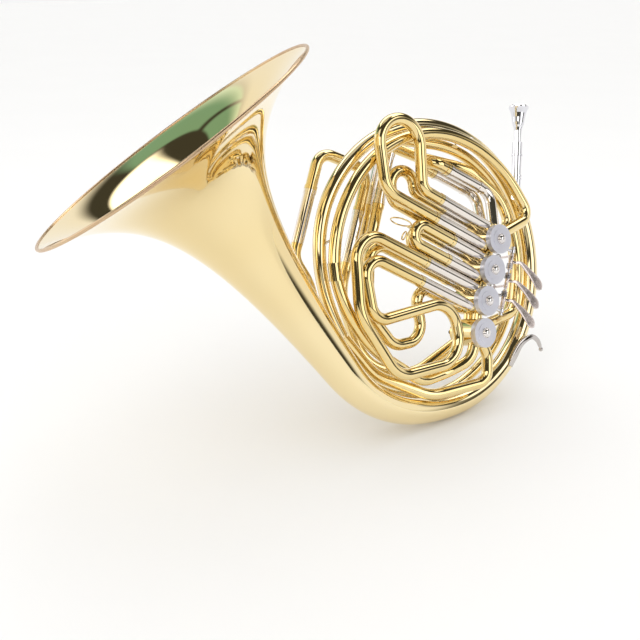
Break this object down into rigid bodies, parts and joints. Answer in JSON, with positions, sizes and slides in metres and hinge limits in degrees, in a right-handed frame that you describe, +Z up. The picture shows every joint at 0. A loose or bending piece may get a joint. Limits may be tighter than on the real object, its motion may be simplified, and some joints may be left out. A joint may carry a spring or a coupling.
{
  "type": "french horn",
  "caption": "Double horn in lacquered brass with a fixed flared bell, round coil of tubing, rotary valves on a slanted row, finger levers, thumb lever and pull-out slides.",
  "frame": {"origin": "lowest point of the bell tail's coil, on the middle plane of the coil", "axes": "+Z up, the coil lies in the XZ plane, the bell points to -X and +Z, valve caps face -Y"},
  "size_m": [0.6428, 0.3099, 0.4187],
  "materials": {
    "lacquered_brass": "polished, clear lacquer",
    "nickel_silver": "polished nickel silver",
    "silver_plate": "polished silver plate",
    "satin_cap": "fine satin with a polished centre dome",
    "rim_bead": "satin, rolled over a wire",
    "cork": "matte",
    "rotor_brass": "turned, unlacquered",
    "spring_steel": "drawn wire"
  },
  "bodies": {
    "horn_body": {"bell": "lacquered_brass", "rim_wire": "rim_bead", "bell_tail": "lacquered_brass", "receiver": "silver_plate", "leadpipe": "lacquered_brass", "main_tuning_legs": "nickel_silver", "f_tuning_legs": "nickel_silver", "bb_tuning_legs": "nickel_silver", "main_return_tube": "lacquered_brass", "ring_tube_front": "lacquered_brass", "ring_tube_middle": "lacquered_brass", "ring_tube_inner": "lacquered_brass", "tail_feed_tube": "lacquered_brass", "f_legs_1": "nickel_silver", "f_legs_2": "nickel_silver", "f_legs_3": "nickel_silver", "bb_legs_1": "nickel_silver", "bb_legs_2": "nickel_silver", "bb_legs_3": "nickel_silver", "casing_1": "lacquered_brass", "casing_2": "lacquered_brass", "casing_3": "lacquered_brass", "casing_4": "lacquered_brass", "valve_caps": "satin_cap", "bearing_plates": "rotor_brass", "cork_cups": "silver_plate", "stop_corks": "cork", "valve_links": "lacquered_brass", "key_rod": "silver_plate", "key_posts": "silver_plate", "lever_springs": "spring_steel", "thumb_rod": "silver_plate", "finger_hook": "silver_plate", "braces": "nickel_silver"},
    "mouthpiece": {"mouthpiece": "silver_plate"},
    "main_tuning_slide": {"main_tuning_crook": "lacquered_brass"},
    "f_tuning_slide": {"f_tuning_crook": "lacquered_brass"},
    "bb_tuning_slide": {"bb_tuning_crook": "lacquered_brass"},
    "f_slide_1": {"f_crook_1": "lacquered_brass"},
    "f_slide_2": {"f_crook_2": "lacquered_brass"},
    "f_slide_3": {"f_crook_3": "lacquered_brass"},
    "bb_slide_1": {"bb_crook_1": "lacquered_brass"},
    "bb_slide_2": {"bb_crook_2": "lacquered_brass"},
    "bb_slide_3": {"bb_crook_3": "lacquered_brass"},
    "rotor_1": {"rotor_1": "rotor_brass", "stop_arm_1": "silver_plate"},
    "rotor_2": {"rotor_2": "rotor_brass", "stop_arm_2": "silver_plate"},
    "rotor_3": {"rotor_3": "rotor_brass", "stop_arm_3": "silver_plate"},
    "rotor_4": {"rotor_4": "rotor_brass", "stop_arm_4": "silver_plate"},
    "key_1": {"finger_lever_1": "silver_plate"},
    "key_2": {"finger_lever_2": "silver_plate"},
    "key_3": {"finger_lever_3": "silver_plate"},
    "thumb_key": {"thumb_lever": "silver_plate"},
    "link_1": {"link_rod_1": "silver_plate"},
    "link_2": {"link_rod_2": "silver_plate"},
    "link_3": {"link_rod_3": "silver_plate"},
    "link_4": {"link_rod_4": "silver_plate"}
  },
  "joints": [
    {"name": "mouthpiece_pull", "type": "slide", "parent": "horn_body", "child": "mouthpiece", "axis": [0.2656, 0, 0.9641], "range_m": [0, 0.04]},
    {"name": "main_tuning_pull", "type": "slide", "parent": "horn_body", "child": "main_tuning_slide", "axis": [0.477, 0, 0.8789], "range_m": [0, 0.045]},
    {"name": "f_tuning_pull", "type": "slide", "parent": "horn_body", "child": "f_tuning_slide", "axis": [-0.458, 0, -0.889], "range_m": [0, 0.035]},
    {"name": "bb_tuning_pull", "type": "slide", "parent": "horn_body", "child": "bb_tuning_slide", "axis": [-0.8624, 0, 0.5062], "range_m": [0, 0.008]},
    {"name": "f_slide_1_pull", "type": "slide", "parent": "horn_body", "child": "f_slide_1", "axis": [-0.8434, 0, 0.5373], "range_m": [0, 0.03]},
    {"name": "f_slide_2_pull", "type": "slide", "parent": "horn_body", "child": "f_slide_2", "axis": [-0.8434, 0, 0.5373], "range_m": [0, 0.025]},
    {"name": "f_slide_3_pull", "type": "slide", "parent": "horn_body", "child": "f_slide_3", "axis": [-0.8434, 0, 0.5373], "range_m": [0, 0.03]},
    {"name": "bb_slide_1_pull", "type": "slide", "parent": "horn_body", "child": "bb_slide_1", "axis": [-0.8434, 0, 0.5373], "range_m": [0, 0.01]},
    {"name": "bb_slide_2_pull", "type": "slide", "parent": "horn_body", "child": "bb_slide_2", "axis": [-0.8434, 0, 0.5373], "range_m": [0, 0.02]},
    {"name": "bb_slide_3_pull", "type": "slide", "parent": "horn_body", "child": "bb_slide_3", "axis": [-0.8434, 0, 0.5373], "range_m": [0, 0.01]},
    {"name": "key_1_rock", "type": "hinge", "parent": "horn_body", "child": "key_1", "pos_m": [0.10763, -0.022, 0.17057], "axis": [0.4633, 0, 0.8862], "range_deg": [0, 19.68]},
    {"name": "key_2_rock", "type": "hinge", "parent": "horn_body", "child": "key_2", "pos_m": [0.10763, -0.022, 0.17057], "axis": [0.4633, 0, 0.8862], "range_deg": [0, 19.68]},
    {"name": "key_3_rock", "type": "hinge", "parent": "horn_body", "child": "key_3", "pos_m": [0.10763, -0.022, 0.17057], "axis": [0.4633, 0, 0.8862], "range_deg": [0, 19.68]},
    {"name": "thumb_rock", "type": "hinge", "parent": "horn_body", "child": "thumb_key", "pos_m": [0.06179, 0.031, 0.07231], "axis": [-0.4633, 0, -0.8862], "range_deg": [0, 19.68]},
    {"name": "rotor_1_turn", "type": "hinge", "parent": "horn_body", "child": "rotor_1", "pos_m": [0.06917, 0, 0.19068], "axis": [0, 1, 0], "range_deg": [0, 90.1]},
    {"name": "link_1_swing", "type": "hinge", "parent": "rotor_1", "child": "link_1", "pos_m": [0.07111, 0.0045, 0.18448], "axis": [0, 1, 0], "range_deg": [-90.1, 0]},
    {"name": "rotor_2_turn", "type": "hinge", "parent": "horn_body", "child": "rotor_2", "pos_m": [0.0524, 0, 0.1586], "axis": [0, 1, 0], "range_deg": [0, 90.1]},
    {"name": "link_2_swing", "type": "hinge", "parent": "rotor_2", "child": "link_2", "pos_m": [0.05434, 0.0045, 0.1524], "axis": [0, 1, 0], "range_deg": [-90.1, 0]},
    {"name": "rotor_3_turn", "type": "hinge", "parent": "horn_body", "child": "rotor_3", "pos_m": [0.03563, 0, 0.12652], "axis": [0, 1, 0], "range_deg": [-90.1, 0]},
    {"name": "link_3_swing", "type": "hinge", "parent": "rotor_3", "child": "link_3", "pos_m": [0.04183, 0.0045, 0.12846], "axis": [0, 1, 0], "range_deg": [0, 90.1]},
    {"name": "rotor_4_turn", "type": "hinge", "parent": "horn_body", "child": "rotor_4", "pos_m": [0.02333, 0, 0.09242], "axis": [0, 1, 0], "range_deg": [-90.1, 0]},
    {"name": "link_4_swing", "type": "hinge", "parent": "rotor_4", "child": "link_4", "pos_m": [0.02953, 0.0045, 0.09436], "axis": [0, 1, 0], "range_deg": [0, 90.1]}
  ],
  "couplings": [
    {"joint": "rotor_1_turn", "follows": "key_1_rock", "ratio": 4.573},
    {"joint": "link_1_swing", "follows": "key_1_rock", "ratio": -4.573},
    {"joint": "rotor_2_turn", "follows": "key_2_rock", "ratio": 4.573},
    {"joint": "link_2_swing", "follows": "key_2_rock", "ratio": -4.573},
    {"joint": "rotor_3_turn", "follows": "key_3_rock", "ratio": -4.573},
    {"joint": "link_3_swing", "follows": "key_3_rock", "ratio": 4.573},
    {"joint": "rotor_4_turn", "follows": "thumb_rock", "ratio": -4.573},
    {"joint": "link_4_swing", "follows": "thumb_rock", "ratio": 4.573}
  ]
}
